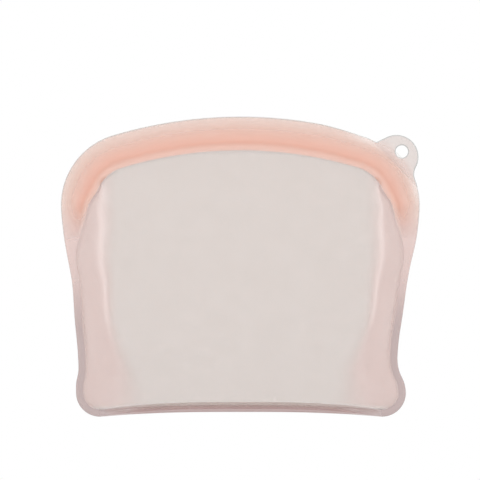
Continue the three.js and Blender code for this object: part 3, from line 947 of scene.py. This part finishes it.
SILICONE_IOR = 1.41
STRAIGHT_ON = 0.03  # share of light mirrored by the skin when seen straight on
SCHLICK_POWER = 5.0
GLOW = 0.35  # share of the milky body that glows with the light from behind it
CLOUD_SCALE, CLOUDS = 38.0, 0.12  # slow clouds in the milkiness
SMEAR_SCALE, SMEARS = 160.0, 0.06  # and in the roughness
TOOTH_SCALE, TOOTH_DEPTH, TOOTH_BUMP = 2600.0, 0.00006, 0.25  # the fine matt tooth of the skin

# How peach the rim is, at shares of its width from the outer edge
TINT_ACROSS = ((0.0, 0.0), (0.1, 0.06), (0.3, 0.3), (0.55, 0.66), (0.76, 1.0), (0.9, 0.5), (1.0, 0.2))
SLOPE_LIGHT_ACROSS = ((0.74, 0.0), (0.92, 1.0))  # and how much painted light lifts its inner slope, which faces down and gets less light
EDGE_FALL = 22.0  # the painted dark edge line is gone at 1 / 22 of the width
RIM_MILK, TINT_MILK, EDGE_SHADE_MILK, LOW_SHADE_MILK = 0.22, 0.35, 0.1, 0.11


class Nodes:
    """Adds and links the shader nodes of a material."""

    def __init__(self, name):
        self.material = bpy.data.materials.new(name)
        self.material.use_nodes = True
        self.tree = self.material.node_tree
        self.tree.nodes.clear()

    def give(self, socket, value):
        """Links a socket to another one, or sets it to a number or a colour."""
        if isinstance(value, bpy.types.NodeSocket):
            self.tree.links.new(value, socket)
        elif isinstance(value, tuple):
            socket.default_value = (*value, 1.0)
        else:
            socket.default_value = value

    def add(self, kind, **inputs):
        node = self.tree.nodes.new(kind)
        for key, value in inputs.items():
            self.give(node.inputs[key.replace("_", " ")], value)
        return node

    def math(self, operation, *values):
        node = self.add("ShaderNodeMath")
        node.operation = operation
        for socket, value in zip(node.inputs, values):
            self.give(socket, value)
        return node.outputs[0]

    def rising(self, base, rise, share):
        """base, and rise more where share is 1."""
        return self.math("ADD", base, self.math("MULTIPLY", share, rise))

    def attribute(self, name):
        node = self.add("ShaderNodeAttribute")
        node.attribute_name = name
        return node.outputs["Fac"]

    def ramp(self, value, stops, interpolation="EASE"):
        """A value that follows stops, which are places and the value at each."""
        node = self.add("ShaderNodeValToRGB", Fac=value)
        node.color_ramp.interpolation = interpolation
        elements = node.color_ramp.elements
        while len(elements) < len(stops):
            elements.new(1.0)
        for element, (place, level) in zip(elements, stops):
            element.position = place
            element.color = (level, level, level, 1.0)
        return node.outputs["Color"]

    def noise(self, scale, detail=3.0):
        place = self.add("ShaderNodeTexCoord").outputs["Object"]
        return self.add("ShaderNodeTexNoise", Vector=place, Scale=scale, Detail=detail).outputs["Fac"]

    def mix_colour(self, share, first, second):
        node = self.add("ShaderNodeMix")
        node.data_type = "RGBA"
        for index, value in ((0, share), (6, first), (7, second)):
            self.give(node.inputs[index], value)
        return node.outputs[2]

    def mix_shader(self, share, first, second):
        node = self.add("ShaderNodeMixShader")
        for socket, value in zip(node.inputs, (share, first, second)):
            self.give(socket, value)
        return node.outputs[0]

    def surface(self, shader):
        """The material, finished with this shader."""
        self.add("ShaderNodeOutputMaterial", Surface=shader)
        return self.material


def silicone(name, colour, opacity, roughness):
    """Milky translucent silicone: a hazy body in a clear, softly glossy skin.

    colour and opacity are functions of the Nodes that give a socket or a plain value."""
    nodes = Nodes(name)
    shade = colour(nodes)
    shown = nodes.attribute("shown")
    clouds = nodes.rising(1.0 - CLOUDS / 2, CLOUDS, nodes.noise(CLOUD_SCALE))
    solid = nodes.math("MULTIPLY", nodes.math("MULTIPLY", opacity(nodes), clouds), shown)
    gloss = nodes.rising(roughness - SMEARS / 2, SMEARS, nodes.noise(SMEAR_SCALE))
    tooth = nodes.noise(TOOTH_SCALE, detail=2.0)
    bump = nodes.add("ShaderNodeBump", Strength=TOOTH_BUMP, Distance=TOOTH_DEPTH, Height=tooth)
    relief = bump.outputs["Normal"]
    body = nodes.add(
        "ShaderNodeBsdfPrincipled", Base_Color=shade, Roughness=gloss, IOR=SILICONE_IOR, Normal=relief,
    ).outputs[0]
    back = nodes.add("ShaderNodeBsdfTranslucent", Color=shade).outputs[0]
    milky = nodes.mix_shader(GLOW, body, back)
    clear = nodes.add("ShaderNodeBsdfTransparent").outputs[0]
    shine = nodes.add("ShaderNodeBsdfGlossy", Roughness=gloss, Normal=relief).outputs[0]
    tilt = nodes.add("ShaderNodeLayerWeight", Blend=0.5, Normal=relief).outputs["Facing"]
    mirror = nodes.rising(STRAIGHT_ON, 1.0 - STRAIGHT_ON, nodes.math("POWER", tilt, SCHLICK_POWER))
    gleam = nodes.math("MULTIPLY", mirror, nodes.math("MULTIPLY", nodes.attribute("skin"), shown))
    skin = nodes.mix_shader(gleam, clear, shine)
    return nodes.surface(nodes.mix_shader(solid, skin, milky))


def plain(colour):
    return lambda nodes: colour


def milkiness(base, **more):
    """An opacity: base, and more of it where a named attribute is 1."""
    def opacity(nodes):
        total = base
        for name, amount in more.items():
            total = nodes.rising(total, amount, nodes.attribute(name))
        return total
    return opacity


def wall_colour(nodes):
    return nodes.mix_colour(nodes.attribute("sideways"), GREY_PINK, SIDE_PINK)


def rim_tint(nodes):
    """How peach the rim is: most where the jaw is thickest, and fading towards the ends of the seal."""
    across = nodes.ramp(nodes.attribute("across"), TINT_ACROSS, "B_SPLINE")
    return nodes.math("MULTIPLY", across, nodes.attribute("strength"))


def rim_edge_shade(nodes):
    """1 along the thin outer edge, which is painted darker and denser: a painted reflection of darker
    surroundings at the edge.
    """
    return nodes.math("MAXIMUM", nodes.rising(1.0, -EDGE_FALL, nodes.attribute("across")), 0.0)


def rim_colour(nodes):
    strength = nodes.attribute("strength")
    # painted shade: the seam darkens towards the bottom
    seam = nodes.mix_colour(nodes.attribute("low"), SEAM_PINK, SEAM_SHADE)
    pale = nodes.mix_colour(strength, seam, CREAM)
    tinted = nodes.mix_colour(rim_tint(nodes), pale, PEACH)
    # painted light: the downward-facing inner slope is lightened towards a paler peach
    slope = nodes.ramp(nodes.attribute("across"), SLOPE_LIGHT_ACROSS)
    inner = nodes.mix_colour(nodes.math("MULTIPLY", slope, strength), tinted, SLOPE_LIGHT_PEACH)
    return nodes.mix_colour(rim_edge_shade(nodes), inner, EDGE_SHADE_GREY)


def rim_opacity(nodes):
    return nodes.rising(nodes.rising(RIM_MILK, TINT_MILK, rim_tint(nodes)), EDGE_SHADE_MILK, rim_edge_shade(nodes))


def flange_opacity(nodes):
    """Two faces in place of the rims' four let as much through."""
    clear = nodes.math("SUBTRACT", 1.0, rim_opacity(nodes))
    solid = nodes.math("SUBTRACT", 1.0, nodes.math("POWER", clear, 2.0))
    # denser low down: painted shade along the bottom of the seam
    return nodes.rising(solid, LOW_SHADE_MILK, nodes.attribute("low"))


def tab_colour(nodes):
    flat = nodes.mix_colour(nodes.attribute("reach"), ROOT_CREAM, PALE_GREY)
    # painted reflection: the rounded edges take the same dark edge line as the rim
    return nodes.mix_colour(nodes.attribute("rounded"), flat, EDGE_SHADE_GREY)


wall_silicone = silicone("wall_silicone", wall_colour, milkiness(0.18, sideways=0.068, crease=0.018), 0.28)
rim_silicone = silicone("rim_silicone", rim_colour, rim_opacity, 0.34)
flange_silicone = silicone("flange_silicone", rim_colour, flange_opacity, 0.32)
# the bead is painted the dark seam shade, and the foot attribute adds painted contact shadow low on it
bead_silicone = silicone("bead_silicone", plain(SEAM_SHADE), milkiness(0.40, foot=0.20, ends=-0.11), 0.30)
panel_silicone = silicone("panel_silicone", plain(GREY_PINK), milkiness(0.17), 0.32)
tab_silicone = silicone("tab_silicone", tab_colour, milkiness(0.37, reach=0.21), 0.32)


# ------------------------------------------------------------------------------------------- assembly


def dress(thing, material, slot, *nodes):
    thing.data.materials.append(material)
    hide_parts(*nodes)
    return thing


def bend_with(thing, flap):
    """Lets a soft piece bend between the body and a flap as a lip is pulled open."""
    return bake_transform(thing, "bag_body", flap, start=(0, 0, BEND_FROM_Z * MM), end=(0, 0, BEND_TO_Z * MM))


for word, face in (("front", FRONT), ("rear", REAR)):
    wall = make_wall(f"{word}_wall_skin", face)
    dress(wall, wall_silicone, "clear_silicone", f"{word}_lower_wall", f"{word}_upper_wall")
    bend_with(wall, f"{word}_flap")
    rim = make_rim(f"{word}_seal_rim", face)
    dress(rim, rim_silicone, "seal_silicone", f"{word}_seal_band", f"{word}_grip_lip")
    bend_with(rim, f"{word}_flap")
    bead = make_base_bead(f"{word}_base_bead", face)
    dress(bead, bead_silicone, "seam_silicone", f"{word}_base_seam")
    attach(bead, "bag_body")

rib = dress(make_rib("seal_bead"), rim_silicone, "seal_silicone", "seal_rib")
bend_with(rib, "rear_flap")

for word, side in (("left", LEFT), ("right", RIGHT)):
    flange = make_flange(f"{word}_side_flange", side)
    dress(flange, flange_silicone, "seam_silicone", f"{word}_side_seam", f"{word}_seal_end")
    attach(flange, "bag_body")

panel = dress(make_base_panel("base_gusset"), panel_silicone, "clear_silicone", "base_panel")
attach(panel, "bag_body")

tab = dress(make_tab("hang_tab_plate"), tab_silicone, "lip_silicone", "hang_tab")
tab_out = tab_direction()
bend_line = [np.array(SHOULDER) + reach * tab_out for reach in TAB_BEND]
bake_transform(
    tab, "front_flap", "hang_tab",
    start=(bend_line[0][0] * MM, TAB_Y * MM, bend_line[0][1] * MM),
    end=(bend_line[1][0] * MM, TAB_Y * MM, bend_line[1][1] * MM),
)


# ------------------------------------------------------------------------------------ camera and light

CAMERA_X = -0.0002
CAMERA_Z = 0.1113
CAMERA_DISTANCE = 2.6
PICTURE_WIDTH = 0.3024  # across the picture, at the bag
SENSOR_WIDTH = 36.0  # in millimetres
FLOOR_HALF = 6.0
FLOOR_Z = -0.0003
LIT_PLACE = (0.0, 0.0, 0.1)
STRIP_X, STRIP_Y, STRIP_Z = 1.2, -0.75, 0.6
STRIP_SIZE, STRIP_POWER = (0.25, 2.0), 15.0
OVERHEAD_PLACE, OVERHEAD_SIZE, OVERHEAD_POWER = (0.0, -0.3, 1.3), (1.2, 0.8), 3.0


def add_camera():
    camera = link(bpy.data.objects.new("camera", bpy.data.cameras.new("camera")))
    camera.location = (CAMERA_X, -CAMERA_DISTANCE, CAMERA_Z)
    camera.rotation_euler = (math.pi / 2, 0.0, 0.0)
    camera.data.sensor_width = SENSOR_WIDTH
    camera.data.lens = SENSOR_WIDTH * CAMERA_DISTANCE / PICTURE_WIDTH
    bpy.context.scene.camera = camera


def add_softbox(name, place, size, power):
    light = bpy.data.lights.new(name, "AREA")
    light.shape = "RECTANGLE"
    light.size, light.size_y = size
    light.energy = power
    thing = link(bpy.data.objects.new(name, light))
    thing.location = place
    thing.rotation_euler = (Vector(LIT_PLACE) - Vector(place)).to_track_quat("-Z", "Y").to_euler()
    thing.visible_camera = False


def add_world():
    """An even white surround."""
    world = bpy.data.worlds.new("studio")
    world.use_nodes = True
    tree = world.node_tree
    tree.nodes.clear()
    glow = tree.nodes.new("ShaderNodeBackground")
    glow.inputs["Color"].default_value = (*WHITE, 1.0)
    glow.inputs["Strength"].default_value = 1.0
    output = tree.nodes.new("ShaderNodeOutputWorld")
    tree.links.new(glow.outputs[0], output.inputs["Surface"])
    bpy.context.scene.world = world


def add_floor():
    """A glowing white plane just under the bag."""
    corners = [(x * FLOOR_HALF, y * FLOOR_HALF, FLOOR_Z) for x, y in ((-1, -1), (1, -1), (1, 1), (-1, 1))]
    mesh = bpy.data.meshes.new("floor")
    mesh.from_pydata(corners, [], [(0, 1, 2, 3)])
    floor = link(bpy.data.objects.new("floor", mesh))
    nodes = Nodes("floor_white")
    glow = nodes.add("ShaderNodeEmission", Color=WHITE, Strength=1.0).outputs[0]
    mesh.materials.append(nodes.surface(glow))


add_camera()
add_world()
add_floor()
for word, side in (("left", LEFT), ("right", RIGHT)):
    add_softbox(f"{word}_strip", (side * STRIP_X, STRIP_Y, STRIP_Z), STRIP_SIZE, STRIP_POWER)
add_softbox("overhead", OVERHEAD_PLACE, OVERHEAD_SIZE, OVERHEAD_POWER)

scene = bpy.context.scene
scene.view_settings.view_transform = "Standard"
scene.view_settings.look = "None"
scene.cycles.use_denoising = True
scene.cycles.max_bounces = 12
scene.cycles.transparent_max_bounces = 48
scene.cycles.sample_clamp_indirect = 4.0
